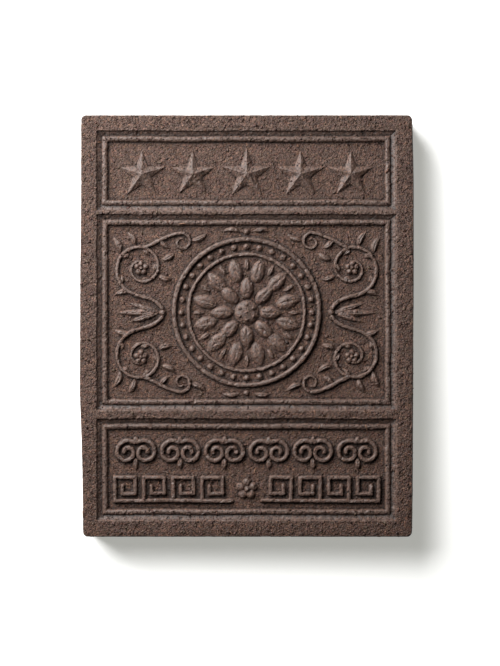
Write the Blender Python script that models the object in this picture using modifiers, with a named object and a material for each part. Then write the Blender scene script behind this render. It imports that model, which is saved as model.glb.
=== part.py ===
"""Pressed tea brick, lying flat with its relief face up.

The brick is one solid, 188 x 237.6 x 24 mm. Its upper face has three sunk panels, each
framed by a step, a slope and a rounded bead: five faceted stars in the top panel, a round
flower medallion between scrolling vines in the middle one, and a row of cloud scrolls over
a key-fret band in the bottom one. X runs across the brick, Y along it towards the stars,
Z up, and the origin is at the middle of the underside.
"""

import math
from collections import namedtuple

import bmesh
import bpy

MM = 0.001

# Slab
WIDTH = 188.0 * MM
LENGTH = 237.6 * MM
THICKNESS = 24.0 * MM
CORNER_ROUND = 3.0 * MM  # in plan
CORNER_SEGMENTS = 3
EDGE_ROUND = 1.2 * MM
EDGE_SEGMENTS = 2
BOW_LEFT = 1.2 * MM  # how much narrower each long side is at its ends
BOW_RIGHT = 0.7 * MM
BOW_SPANS = 8

# Sunk panels: middle in X, half width, then the lower and upper edge of each recess
PANEL_X = -0.2 * MM
PANEL_HALF_WIDTH = 84.2 * MM
PANEL_DEPTH = 3.0 * MM
STAR_PANEL = (64.6 * MM, 109.8 * MM)
VINE_PANEL = (-47.8 * MM, 62.8 * MM)
FRET_PANEL = (-109.3 * MM, -51.9 * MM)
CUTTER_RISE = 6.0 * MM

# Frame inside each recess, from its edge inwards: a step down, a slope, a bead
STEP_DROP = 1.0 * MM
SLOPE_WIDTH, SLOPE_DROP = 2.9 * MM, 2.3 * MM  # where the slope ends, in from and under the rim
BEAD_HEIGHT = 1.4 * MM  # over the slope's foot
BEAD_OUTER, BEAD_INNER = 1.75 * MM, 2.3 * MM  # widths of the bead's two flanks
BEAD_STEPS = 4

# Relief
FLOOR = THICKNESS - PANEL_DEPTH
SINK = 0.12 * MM  # how far the middle of a raised line lies under the panel's floor
LINE_BEVEL = 1  # bevel resolution, 6 sides

# Stars: middle in X, outer radius
STARS = (
    (-59.1 * MM, 13.4 * MM),
    (-30.4 * MM, 13.2 * MM),
    (0.0 * MM, 14.4 * MM),
    (30.3 * MM, 13.8 * MM),
    (58.7 * MM, 13.6 * MM),
)
STAR_Y = 85.4 * MM
STAR_WAIST = 0.44  # inner radius over outer radius
STAR_HEIGHT = 2.9 * MM
STAR_ROOT = 0.5 * MM

# Medallion, round the middle of the vine panel
MEDALLION_Y = 7.6 * MM
RING_RADIUS, RING_HALF_WIDTH, RING_HEIGHT = 41.0 * MM, 1.35 * MM, 2.1 * MM
INNER_RADIUS, INNER_HALF_WIDTH, INNER_HEIGHT = 32.8 * MM, 1.0 * MM, 1.6 * MM
RING_STEPS, INNER_STEPS = 56, 40
PEARLS, PEARL_ORBIT, PEARL_RADIUS, PEARL_HEIGHT = 32, 36.9 * MM, 1.8 * MM, 1.8 * MM
Petals = namedtuple("Petals", "count inner outer turn half_width height")
PETAL_RINGS = (
    Petals(12, 17.5 * MM, 31.4 * MM, 0.5, 3.9 * MM, 2.0 * MM),
    Petals(8, 7.6 * MM, 20.5 * MM, 0.0, 3.8 * MM, 2.5 * MM),
    Petals(12, 23.5 * MM, 31.0 * MM, 0.0, 1.4 * MM, 1.5 * MM),  # darts between the outer ones
)
POD_RADIUS, POD_HEIGHT = 6.8 * MM, 2.2 * MM
SEEDS, SEED_ORBIT, SEED_RADIUS, SEED_HEIGHT = 6, 4.3 * MM, 1.25 * MM, 2.8 * MM

# Vines, given in one quarter of the vine panel and mirrored to the other three
STEM_HALF_WIDTH, STEM_HEIGHT = 1.15 * MM, 1.9 * MM
LEAF_HEIGHT = 1.9 * MM
LEAF_STEPS = 4
SCROLL_AT = (59.5 * MM, 25.0 * MM)
SCROLL_RADII = (15.2 * MM, 3.4 * MM)
SCROLL_START = math.radians(-70.0)
SCROLL_TURNS = 1.45
SCROLL_STEPS = 22
SHOOT_SHARES = (0.06, 0.19, 0.32, 0.45, 0.58)  # of the scroll, where small leaves turn in
SHOOT_LENGTH, SHOOT_HALF_WIDTH, SHOOT_HEIGHT = 5.6 * MM, 1.25 * MM, 1.5 * MM
SHOOT_TURN = math.radians(128.0)  # from the spoke through its foot
BLOSSOM_PETALS, BLOSSOM_ORBIT, BLOSSOM_RADIUS = 5, 2.5 * MM, 1.7 * MM
CURL_AT = (36.4 * MM, 39.6 * MM)
CURL_RADII = (5.3 * MM, 1.7 * MM)
CURL_START = math.radians(80.0)
CURL_TURNS = 1.1
CURL_STEPS = 11

# Cloud scrolls and key fret
CLOUD_XS = (-62.5 * MM, -37.5 * MM, -12.5 * MM, 12.5 * MM, 37.5 * MM, 62.5 * MM)
CLOUD_Y = -71.8 * MM
CLOUD_PEAK = 8.2 * MM
CLOUD_EYE = (4.9 * MM, 0.6 * MM)
CLOUD_RADII = (6.9 * MM, 1.6 * MM)
CLOUD_START = math.radians(125.0)
CLOUD_TURNS = -1.35
CLOUD_STEPS = 13
CLOUD_HALF_WIDTH, CLOUD_HEIGHT = 1.25 * MM, 2.1 * MM
DROP_TOP, DROP_LENGTH, DROP_HALF_WIDTH = -2.4 * MM, 7.6 * MM, 1.7 * MM
FRET_FOOT_Y = -98.4 * MM
FRET_RISE = 13.0 * MM
FRET_PITCH = 16.4 * MM
FRET_UNITS = 4  # each side of the middle flower
FRET_START = 8.6 * MM
FRET_HALF_WIDTH, FRET_HEIGHT = 1.15 * MM, 2.0 * MM
FRET_CORNER = 0.9 * MM

TEA_COLOUR = (0.062, 0.038, 0.029, 1.0)
TEA_ROUGHNESS = 0.62
CREASE = math.radians(25.0)  # angle over which an edge is drawn sharp

Line = namedtuple("Line", "points half_widths height closed")


def clear_scene():
    for obj in list(bpy.data.objects):
        bpy.data.objects.remove(obj, do_unlink=True)


def new_collection(name):
    collection = bpy.data.collections.new(name)
    bpy.context.scene.collection.children.link(collection)
    return collection


def tea_material():
    """Dark, dry pressed tea leaf."""
    material = bpy.data.materials.new("pressed_tea")
    material.use_nodes = True
    shader = material.node_tree.nodes["Principled BSDF"]
    shader.inputs["Base Color"].default_value = TEA_COLOUR
    shader.inputs["Roughness"].default_value = TEA_ROUGHNESS
    shader.inputs["Metallic"].default_value = 0.0
    return material


def object_from_bmesh(name, bm, collection):
    mesh = bpy.data.meshes.new(name)
    bm.to_mesh(mesh)
    bm.free()
    obj = bpy.data.objects.new(name, mesh)
    collection.objects.link(obj)
    return obj


def apply_modifiers(obj):
    """Puts the evaluated mesh in place of the object's own and drops its modifiers."""
    graph = bpy.context.evaluated_depsgraph_get()
    mesh = bpy.data.meshes.new_from_object(obj.evaluated_get(graph))
    obj.modifiers.clear()
    obj.data = mesh


def add_bevel(obj, width, segments):
    bevel = obj.modifiers.new("rounded_edges", "BEVEL")
    bevel.width = width
    bevel.segments = segments
    bevel.limit_method = "ANGLE"
    bevel.angle_limit = math.radians(40.0)


def add_boolean(obj, operation, collection, solver):
    boolean = obj.modifiers.new(operation.lower(), "BOOLEAN")
    boolean.operation = operation
    boolean.operand_type = "COLLECTION"
    boolean.collection = collection
    boolean.solver = solver


# --- Slab and recesses ---------------------------------------------------------------


def box_mesh(size_x, size_y, size_z, middle):
    bm = bmesh.new()
    bmesh.ops.create_cube(bm, size=1.0)
    bmesh.ops.scale(bm, vec=(size_x, size_y, size_z), verts=bm.verts)
    bmesh.ops.translate(bm, vec=middle, verts=bm.verts)
    return bm


def make_slab(collection):
    """The plain brick: round corners and edges, and long sides that bow out a little."""
    bm = box_mesh(WIDTH, LENGTH, THICKNESS, (0.0, 0.0, THICKNESS / 2))
    upright = [e for e in bm.edges if abs(e.verts[0].co.z - e.verts[1].co.z) > MM]
    bmesh.ops.bevel(
        bm, geom=upright, offset=CORNER_ROUND, segments=CORNER_SEGMENTS, profile=0.5,
        affect="EDGES",
    )
    lengthwise = [
        e for e in bm.edges if abs(e.verts[0].co.y - e.verts[1].co.y) > LENGTH / 2
    ]
    bmesh.ops.subdivide_edges(bm, edges=lengthwise, cuts=BOW_SPANS - 1)
    for vert in bm.verts:
        along = 2 * vert.co.y / LENGTH
        vert.co.x += BOW_LEFT * along**2 if vert.co.x < 0 else -BOW_RIGHT * along**2
    slab = object_from_bmesh("tea_brick", bm, collection)
    add_bevel(slab, EDGE_ROUND, EDGE_SEGMENTS)
    apply_modifiers(slab)
    return slab


def frame_profile():
    """The frame's turns after its step, as inset from the recess edge and depth under the
    rim: the slope's foot, a quarter ellipse up to the bead's crest, and its softer fall."""
    crest, top = SLOPE_WIDTH + BEAD_OUTER, SLOPE_DROP - BEAD_HEIGHT
    turns = [math.pi / 2 * i / BEAD_STEPS for i in range(1, BEAD_STEPS + 1)]
    outer = [
        (crest - BEAD_OUTER * math.cos(turn), SLOPE_DROP - BEAD_HEIGHT * math.sin(turn))
        for turn in turns
    ]
    inner = [
        (
            crest + BEAD_INNER * turn / (math.pi / 2),
            top + (PANEL_DEPTH - top) * math.sin(turn) ** 2,
        )
        for turn in turns
    ]
    return [(SLOPE_WIDTH, SLOPE_DROP), *outer, *inner]


def make_recess_cutter(name, panel, collection):
    """A block whose underside is drawn in, turn by turn, to leave the frame and the floor."""
    low, high = panel
    height = STEP_DROP + CUTTER_RISE
    middle = (PANEL_X, (low + high) / 2, THICKNESS - STEP_DROP + height / 2)
    bm = box_mesh(2 * PANEL_HALF_WIDTH, high - low, height, middle)
    bm.normal_update()
    under = min(bm.faces, key=lambda face: face.calc_center_median().z)
    inset, depth = 0.0, STEP_DROP
    for next_inset, next_depth in frame_profile():
        bmesh.ops.inset_individual(
            bm, faces=[under], thickness=next_inset - inset, depth=next_depth - depth,
            use_even_offset=True,
        )
        inset, depth = next_inset, next_depth
    cutter = object_from_bmesh(name, bm, collection)
    cutter.hide_render = True
    cutter.display_type = "WIRE"


# --- Raised lines and pieces ---------------------------------------------------------


def bezier(p0, p1, p2, p3, steps):
    """Points along a cubic curve, both ends included."""
    points = []
    for i in range(steps + 1):
        t = i / steps
        a, b, c, d = (1 - t) ** 3, 3 * t * (1 - t) ** 2, 3 * t * t * (1 - t), t**3
        points.append(
            tuple(a * p0[k] + b * p1[k] + c * p2[k] + d * p3[k] for k in range(2))
        )
    return points


def spiral(centre, radii, start, turns, steps):
    """Points round a centre while the radius changes evenly from one value to the other."""
    points = []
    for i in range(steps + 1):
        t = i / steps
        angle = start + 2 * math.pi * turns * t
        radius = radii[0] + (radii[1] - radii[0]) * t
        points.append(
            (centre[0] + radius * math.cos(angle), centre[1] + radius * math.sin(angle))
        )
    return points


def even_line(points, half_width, height, closed=False):
    return Line(points, [half_width] * len(points), height, closed)


def tapered_line(points, half_width, height, tail=0.45):
    """A stem that thins towards its far end, to tail times its first width."""
    last = len(points) - 1
    widths = [half_width * (1 - (1 - tail) * i / last) for i in range(last + 1)]
    return Line(points, widths, height, False)


def leaf(base, direction, length, half_width, height=LEAF_HEIGHT, bend=0.12):
    """An almond: widest a little before its middle, pointed at both ends, bent to one side."""
    ux, uy = math.cos(direction), math.sin(direction)
    points, widths = [], []
    for i in range(LEAF_STEPS + 1):
        t = i / LEAF_STEPS
        aside = bend * length * 4 * t * (1 - t)
        points.append(
            (base[0] + t * length * ux - aside * uy, base[1] + t * length * uy + aside * ux)
        )
        widths.append(half_width * max(math.sin(math.pi * t**0.85), 0.12))
    return Line(points, widths, height, False)


def mirrored(line, flip_x, flip_y):
    points = [(-x if flip_x else x, -y if flip_y else y) for x, y in line.points]
    return line._replace(points=points)


def moved(line, dx, dy):
    return line._replace(points=[(x + dx, y + dy) for x, y in line.points])


def make_line(name, line, collection):
    """A tube along the line, flattened to the line's height, its middle just under the floor."""
    curve = bpy.data.curves.new(name, "CURVE")
    curve.dimensions = "3D"
    curve.twist_mode = "Z_UP"
    curve.bevel_depth = 1.0
    curve.bevel_resolution = LINE_BEVEL
    curve.use_fill_caps = True
    spline = curve.splines.new("POLY")
    spline.points.add(len(line.points) - 1)
    for point, place, half_width in zip(spline.points, line.points, line.half_widths):
        point.co = (place[0], place[1], 0.0, 1.0)
        point.radius = half_width
    spline.use_cyclic_u = line.closed
    guide = bpy.data.objects.new(name + "_guide", curve)
    collection.objects.link(guide)
    graph = bpy.context.evaluated_depsgraph_get()
    mesh = bpy.data.meshes.new_from_object(guide.evaluated_get(graph))
    bpy.data.objects.remove(guide, do_unlink=True)
    bm = bmesh.new()
    bm.from_mesh(mesh)
    bpy.data.meshes.remove(mesh)
    bmesh.ops.remove_doubles(bm, verts=bm.verts, dist=0.00001)
    flatten = (line.height + SINK) / max(line.half_widths)
    bmesh.ops.scale(bm, vec=(1.0, 1.0, flatten), verts=bm.verts)
    bmesh.ops.translate(bm, vec=(0.0, 0.0, FLOOR - SINK), verts=bm.verts)
    bmesh.ops.recalc_face_normals(bm, faces=bm.faces)
    return object_from_bmesh(name, bm, collection)


def make_dome(name, place, radius, height, segments, collection):
    """A flattened ball, half sunk in the floor."""
    bm = bmesh.new()
    bmesh.ops.create_uvsphere(bm, u_segments=segments, v_segments=4, radius=1.0)
    bmesh.ops.scale(bm, vec=(radius, radius, height + SINK), verts=bm.verts)
    bmesh.ops.translate(bm, vec=(place[0], place[1], FLOOR - SINK), verts=bm.verts)
    return object_from_bmesh(name, bm, collection)


def make_star(name, x, radius, collection):
    """A ten-sided pyramid with every second corner drawn in, one point towards +Y."""
    total = STAR_HEIGHT + STAR_ROOT
    foot = radius * total / STAR_HEIGHT
    bm = bmesh.new()
    bmesh.ops.create_cone(
        bm, cap_ends=True, segments=10, radius1=foot, radius2=0.0, depth=total
    )
    for vert in bm.verts:
        angle = math.atan2(vert.co.y, vert.co.x) - math.pi / 2
        step = round(angle / (math.pi / 5))
        reach = math.hypot(vert.co.x, vert.co.y)
        if reach > MM and step % 2:
            vert.co.x *= STAR_WAIST
            vert.co.y *= STAR_WAIST
    middle = FLOOR - STAR_ROOT + total / 2
    bmesh.ops.translate(bm, vec=(x, STAR_Y, middle), verts=bm.verts)
    return object_from_bmesh(name, bm, collection)


# --- Motifs --------------------------------------------------------------------------


def ring(radius, half_width, height, steps):
    points = spiral((0.0, 0.0), (radius, radius), 0.0, 1.0, steps)[:-1]
    return even_line(points, half_width, height, closed=True)


def petals(row):
    """Straight almonds standing round the middle."""
    lines = []
    for i in range(row.count):
        angle = 2 * math.pi * (i + row.turn) / row.count
        base = (row.inner * math.cos(angle), row.inner * math.sin(angle))
        length = row.outer - row.inner
        lines.append(leaf(base, angle, length, row.half_width, row.height, bend=0.0))
    return lines


def medallion_lines():
    return [
        ring(RING_RADIUS, RING_HALF_WIDTH, RING_HEIGHT, RING_STEPS),
        ring(INNER_RADIUS, INNER_HALF_WIDTH, INNER_HEIGHT, INNER_STEPS),
        *(line for row in PETAL_RINGS for line in petals(row)),
    ]


def shoot_lines():
    """Small leaves that turn in from the scroll."""
    lines = []
    for share in SHOOT_SHARES:
        spoke = SCROLL_START + 2 * math.pi * SCROLL_TURNS * share
        radius = SCROLL_RADII[0] + (SCROLL_RADII[1] - SCROLL_RADII[0]) * share
        foot = (
            SCROLL_AT[0] + radius * math.cos(spoke), SCROLL_AT[1] + radius * math.sin(spoke)
        )
        heading = spoke + SHOOT_TURN
        lines.append(leaf(foot, heading, SHOOT_LENGTH, SHOOT_HALF_WIDTH, SHOOT_HEIGHT))
    return lines


def vine_lines():
    """One quarter of the vines: a stem into the scroll, the upper curl, and the leaves."""
    scroll = spiral(SCROLL_AT, SCROLL_RADII, SCROLL_START, SCROLL_TURNS, SCROLL_STEPS)
    stem = bezier(
        (48.0 * MM, 2.6 * MM), (52.5 * MM, 8.8 * MM), (59.0 * MM, 8.4 * MM), scroll[0], 4
    )
    curl = spiral(CURL_AT, CURL_RADII, CURL_START, CURL_TURNS, CURL_STEPS)
    branch = bezier(
        (57.5 * MM, 36.4 * MM), (51.5 * MM, 38.6 * MM), (45.0 * MM, 43.8 * MM), curl[0], 4
    )
    leaves = [
        # base x, base y, direction in degrees, length, half width (all mm)
        (65.5, 11.6, -14.0, 9.5, 1.7),
        (71.3, 33.0, 66.0, 10.5, 1.9),
        (63.0, 37.0, 62.0, 9.5, 1.8),
        (48.0, 30.0, 152.0, 9.0, 1.8),
        (49.5, 21.0, 196.0, 8.0, 1.7),
        (48.5, 41.2, 222.0, 7.5, 1.6),
        (31.4, 40.6, 155.0, 10.0, 1.7),
        (3.6, 45.4, 0.0, 10.5, 1.5),
    ]
    return [
        tapered_line(stem + scroll[1:], STEM_HALF_WIDTH, STEM_HEIGHT, tail=0.6),
        tapered_line(branch + curl[1:], STEM_HALF_WIDTH, STEM_HEIGHT),
        *(
            leaf((x * MM, y * MM), math.radians(turn), length * MM, half * MM)
            for x, y, turn, length, half in leaves
        ),
        *shoot_lines(),
    ]


def palmette_lines():
    """A fan of leaves between the two vines of one side."""
    base = (49.0 * MM, 0.0)
    blades = [(0.0, 24.5, 2.1), (17.0, 18.5, 1.7), (-17.0, 18.5, 1.7)]
    return [
        leaf(base, math.radians(turn), length * MM, half * MM, bend=0.0)
        for turn, length, half in blades
    ]


def cloud_lines():
    """A pair of scrolls that meet in a point above a hanging drop."""
    half = [(0.0, CLOUD_PEAK)]
    half += spiral(CLOUD_EYE, CLOUD_RADII, CLOUD_START, CLOUD_TURNS, CLOUD_STEPS)
    scroll = even_line(half, CLOUD_HALF_WIDTH, CLOUD_HEIGHT)
    drop = leaf((0.0, DROP_TOP), math.radians(-90), DROP_LENGTH, DROP_HALF_WIDTH, bend=0.0)
    return [scroll, mirrored(scroll, True, False), drop]


def cut_corners(corners):
    """The same run with each inner corner cut across, which keeps the tube's width there."""
    points = [corners[0]]
    for before, corner, after in zip(corners, corners[1:], corners[2:]):
        for other in (before, after):
            reach = math.hypot(other[0] - corner[0], other[1] - corner[1])
            part = FRET_CORNER / reach
            points.append(
                tuple(corner[k] + (other[k] - corner[k]) * part for k in range(2))
            )
    return points + [corners[-1]]


def fret_lines():
    """The right half of the key fret: a foot line and a square hook in each unit."""
    end = FRET_START + FRET_UNITS * FRET_PITCH
    lines = [even_line([(FRET_START, 0.0), (end, 0.0)], FRET_HALF_WIDTH, FRET_HEIGHT)]
    for i in range(FRET_UNITS):
        x = end - i * FRET_PITCH
        far, near = x - 0.70 * FRET_PITCH, x - 0.26 * FRET_PITCH
        low, middle = 0.31 * FRET_RISE, 0.65 * FRET_RISE
        hook = [(x, 0.0), (x, FRET_RISE), (far, FRET_RISE), (far, low), (near, low)]
        hook.append((near, middle))
        lines.append(even_line(cut_corners(hook), FRET_HALF_WIDTH, FRET_HEIGHT))
    return lines


# --- Assembly ------------------------------------------------------------------------


def all_lines():
    """Every raised line of the relief, by name."""
    lines = {}
    for i, line in enumerate(medallion_lines()):
        lines[f"medallion_{i}"] = moved(line, 0.0, MEDALLION_Y)
    for i, line in enumerate(vine_lines()):
        for flip_x in (False, True):
            for flip_y in (False, True):
                copy = mirrored(line, flip_x, flip_y)
                lines[f"vine_{i}_{flip_x:d}{flip_y:d}"] = moved(copy, 0.0, MEDALLION_Y)
    for i, line in enumerate(palmette_lines()):
        for flip_x in (False, True):
            copy = mirrored(line, flip_x, False)
            lines[f"palmette_{i}_{flip_x:d}"] = moved(copy, 0.0, MEDALLION_Y)
    for i, x in enumerate(CLOUD_XS):
        for k, line in enumerate(cloud_lines()):
            lines[f"cloud_{i}_{k}"] = moved(line, x, CLOUD_Y)
    for i, line in enumerate(fret_lines()):
        for flip_x in (False, True):
            copy = mirrored(line, flip_x, False)
            lines[f"fret_{i}_{flip_x:d}"] = moved(copy, 0.0, FRET_FOOT_Y)
    return lines


def round_places(count, orbit, middle):
    """Places spaced evenly round a middle point."""
    return [
        (
            middle[0] + orbit * math.cos(2 * math.pi * i / count + math.pi / 2),
            middle[1] + orbit * math.sin(2 * math.pi * i / count + math.pi / 2),
        )
        for i in range(count)
    ]


def add_domes(collection):
    """Pearls, seed pod, blossoms and buds."""
    middle = (0.0, MEDALLION_Y)
    for i, place in enumerate(round_places(PEARLS, PEARL_ORBIT, middle)):
        make_dome(f"pearl_{i}", place, PEARL_RADIUS, PEARL_HEIGHT, 6, collection)
    make_dome("pod", middle, POD_RADIUS, POD_HEIGHT, 14, collection)
    for i, place in enumerate([middle] + round_places(SEEDS, SEED_ORBIT, middle)):
        make_dome(f"seed_{i}", place, SEED_RADIUS, SEED_HEIGHT, 6, collection)
    for side in (-1, 1):
        make_dome(
            f"bud_{side}", (side * 47.6 * MM, MEDALLION_Y), 2.0 * MM, 2.2 * MM, 8, collection
        )
        make_dome(
            f"berry_{side}", (0.0, MEDALLION_Y + side * 45.4 * MM), 1.7 * MM, 1.8 * MM, 6,
            collection,
        )
        for up in (-1, 1):
            eye = (side * SCROLL_AT[0], MEDALLION_Y + up * SCROLL_AT[1])
            add_blossom(f"blossom_{side}_{up}", eye, 1.0, collection)
    flower = (0.0, FRET_FOOT_Y + FRET_RISE / 2)
    add_blossom("fret_flower", flower, 1.5, collection)


def add_blossom(name, middle, size, collection):
    places = round_places(BLOSSOM_PETALS, size * BLOSSOM_ORBIT, middle)
    for i, place in enumerate(places):
        make_dome(
            f"{name}_petal_{i}", place, size * BLOSSOM_RADIUS, 2.0 * MM, 6, collection
        )
    make_dome(f"{name}_eye", middle, size * 1.2 * MM, 2.6 * MM, 6, collection)


def remove_collection(collection):
    for obj in list(collection.objects):
        bpy.data.objects.remove(obj, do_unlink=True)
    bpy.data.collections.remove(collection)


def main():
    clear_scene()
    brick_parts = new_collection("tea_brick")
    cutters = new_collection("recess_cutters")
    relief = new_collection("relief")
    brick = make_slab(brick_parts)
    for name, panel in zip(("star", "vine", "fret"), (STAR_PANEL, VINE_PANEL, FRET_PANEL)):
        make_recess_cutter(f"cut_{name}_panel", panel, cutters)
    add_boolean(brick, "DIFFERENCE", cutters, "EXACT")
    apply_modifiers(brick)
    for i, (x, radius) in enumerate(STARS):
        make_star(f"star_{i}", x, radius, relief)
    for name, line in all_lines().items():
        make_line(name, line, relief)
    add_domes(relief)
    add_boolean(brick, "UNION", relief, "MANIFOLD")
    apply_modifiers(brick)
    remove_collection(relief)
    remove_collection(cutters)
    brick.data.materials.clear()
    brick.data.materials.append(tea_material())
    brick.data.shade_smooth()
    brick.data.set_sharp_from_angle(angle=CREASE)


main()
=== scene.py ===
"""Looks of a pressed tea brick: its moulded surface, its leaf crumbs and the studio round it."""

import functools
import itertools
import math
from collections import namedtuple

import bpy
import numpy as np
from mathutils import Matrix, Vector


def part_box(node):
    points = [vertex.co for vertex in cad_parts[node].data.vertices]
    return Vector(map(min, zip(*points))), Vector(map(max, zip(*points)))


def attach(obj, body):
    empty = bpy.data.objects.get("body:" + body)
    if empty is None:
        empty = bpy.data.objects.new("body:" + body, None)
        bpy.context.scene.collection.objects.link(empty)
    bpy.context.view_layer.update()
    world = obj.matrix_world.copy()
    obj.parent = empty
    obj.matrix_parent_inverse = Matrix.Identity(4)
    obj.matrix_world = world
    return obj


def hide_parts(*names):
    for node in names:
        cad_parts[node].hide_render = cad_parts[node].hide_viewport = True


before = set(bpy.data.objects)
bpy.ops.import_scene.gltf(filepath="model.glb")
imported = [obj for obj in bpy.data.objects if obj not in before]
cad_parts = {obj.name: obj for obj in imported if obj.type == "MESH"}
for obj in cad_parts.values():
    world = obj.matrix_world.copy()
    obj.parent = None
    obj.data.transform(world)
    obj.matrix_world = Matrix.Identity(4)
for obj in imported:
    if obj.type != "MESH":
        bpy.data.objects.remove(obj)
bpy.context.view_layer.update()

bl_info = {
    "name": "Pressed tea brick",
    "version": (1, 0, 0),
    "blender": (4, 5, 0),
    "location": "3D View > Sidebar > Tea Brick",
    "description": "Presses a tea brick with sunk relief panels, scatters its leaf and lights it",
    "category": "Add Mesh",
}

MM = 0.001
BRICK = "tea_brick"
BODY = "root"
LOW, HIGH = (np.array(corner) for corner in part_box(BRICK))
WIDTH, LENGTH, THICKNESS = HIGH - LOW

# Sunk panels, from the recess edge inwards: cove, bead, floor
PANEL_HALF_WIDTH = WIDTH / 2 - 9.8 * MM
STAR_PANEL = (64.9 * MM, 109.8 * MM)
VINE_PANEL = (-47.3 * MM, 62.8 * MM)
FRET_PANEL = (-109.3 * MM, -52.2 * MM)
STEP_FROM, STEP_TO, STEP_DROP = -0.45 * MM, 0.25 * MM, 1.2 * MM  # rounded step down
SLOPE_WIDTH, SLOPE_DROP = 2.9 * MM, 2.5 * MM  # where the slope ends, at the bead's foot
BEAD_OUTER, BEAD_INNER = 1.7 * MM, 1.65 * MM  # widths of the bead's two flanks
BEAD_FADE = 0.8 * MM  # width over which the rubbed frame ends at the bead's inner foot
PANEL_X = -0.2 * MM

# Stars
STAR_XS = np.array([-59.1, -30.4, 0.0, 30.3, 58.7]) * MM
STAR_RADII = np.array([13.4, 13.2, 14.4, 13.8, 13.6]) * MM
STAR_Y = 85.4 * MM
STAR_WAIST = 0.41  # inner radius as a share of the outer one
STAR_ROOT = 0.5 * MM  # upright foot round each star
STAR_SPREAD = 0.06  # how far an arm is longer or shorter than its star's radius
STAR_EDGE = 0.25 * MM  # width over which the upright foot rises

# Medallion
MEDALLION_Y = 7.6 * MM
RING_RADIUS, RING_HALF_WIDTH, RING_HEIGHT = 41.0 * MM, 1.35 * MM, 2.1 * MM
INNER_RADIUS, INNER_HALF_WIDTH, INNER_HEIGHT = 32.8 * MM, 1.0 * MM, 1.6 * MM
PEARLS, PEARL_ORBIT, PEARL_RADIUS, PEARL_HEIGHT = 32, 36.9 * MM, 1.8 * MM, 1.8 * MM
Petals = namedtuple("Petals", "count inner outer turn half_width height")
PETAL_RINGS = (
    Petals(12, 17.5 * MM, 31.4 * MM, 0.5, 3.9 * MM, 2.0 * MM),
    Petals(8, 7.6 * MM, 20.5 * MM, 0.0, 3.8 * MM, 2.5 * MM),
    Petals(12, 23.5 * MM, 31.0 * MM, 0.0, 1.4 * MM, 1.5 * MM),  # darts between the outer ones
)
SQUARENESS = 3.0  # power in a ridge's section: 2 is round, more is squarer
VEIN_DEPTH, VEIN_WIDTH = 0.4 * MM, 0.16  # groove along a leaf, its width a share of the leaf's
POD_RADIUS, POD_HEIGHT = 6.8 * MM, 2.2 * MM
SEEDS, SEED_ORBIT, SEED_RADIUS, SEED_HEIGHT = 6, 4.3 * MM, 1.25 * MM, 2.9 * MM
SIDE_BUD = (47.6 * MM, 2.0 * MM, 2.2 * MM)  # how far out, radius, height
END_BUD = (45.4 * MM, 1.7 * MM, 1.8 * MM)

# Vines, in one quarter of their panel
STEM_POINTS = np.array([(48.0, 2.6), (52.5, 8.8), (59.0, 8.4)]) * MM  # leads to the scroll
BRANCH_POINTS = np.array([(57.5, 36.4), (51.5, 38.6), (45.0, 43.8)]) * MM  # leads to the curl
STEM_TAIL, BRANCH_TAIL = 0.6, 0.45  # half width at the end, as a share of that at the start
STEM_HALF_WIDTH, STEM_HEIGHT = 1.15 * MM, 1.9 * MM
LEAF_HEIGHT, LEAF_BEND = 1.9 * MM, 0.12  # the bend is a share of the length
SCROLL_AT = (59.5 * MM, 25.0 * MM)
SCROLL_RADII = (15.2 * MM, 3.4 * MM)
SCROLL_START, SCROLL_TURNS = math.radians(-70.0), 1.45
CURL_AT = (36.4 * MM, 39.6 * MM)
CURL_RADII = (5.3 * MM, 1.7 * MM)
CURL_START, CURL_TURNS = math.radians(80.0), 1.1
BLOSSOM_PETALS, BLOSSOM_ORBIT, BLOSSOM_RADIUS, BLOSSOM_HEIGHT = 5, 2.5 * MM, 1.7 * MM, 2.0 * MM
BLOSSOM_EYE_RADIUS, BLOSSOM_EYE_HEIGHT = 1.2 * MM, 2.6 * MM
MIDDLE_BLOSSOM = 1.5  # size of the one between the frets
SHOOT_SHARES = np.array([0.06, 0.19, 0.32, 0.45, 0.58])  # of the scroll, where shoots turn in
SHOOT_LENGTH, SHOOT_HALF_WIDTH, SHOOT_HEIGHT = 5.6 * MM, 1.25 * MM, 1.5 * MM
SHOOT_TURN = math.radians(128.0)  # from the spoke through its foot
VINE_LEAVES = (  # base x, base y, direction in degrees, length, half width (mm)
    (65.5, 11.6, -14.0, 9.5, 1.7),
    (71.3, 33.0, 66.0, 10.5, 1.9),
    (63.0, 37.0, 62.0, 9.5, 1.8),
    (48.0, 30.0, 152.0, 9.0, 1.8),
    (49.5, 21.0, 196.0, 8.0, 1.7),
    (48.5, 41.2, 222.0, 7.5, 1.6),
    (31.4, 40.6, 155.0, 10.0, 1.7),
    (3.6, 45.4, 0.0, 10.5, 1.5),
)

# Fan between two vines: its foot, and each blade's direction in degrees, length and half
# width (mm)
FAN_FOOT = (49.0, 0.0)
FAN_BLADES = ((0.0, 24.5, 2.1), (17.0, 18.5, 1.7), (-17.0, 18.5, 1.7))

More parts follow.
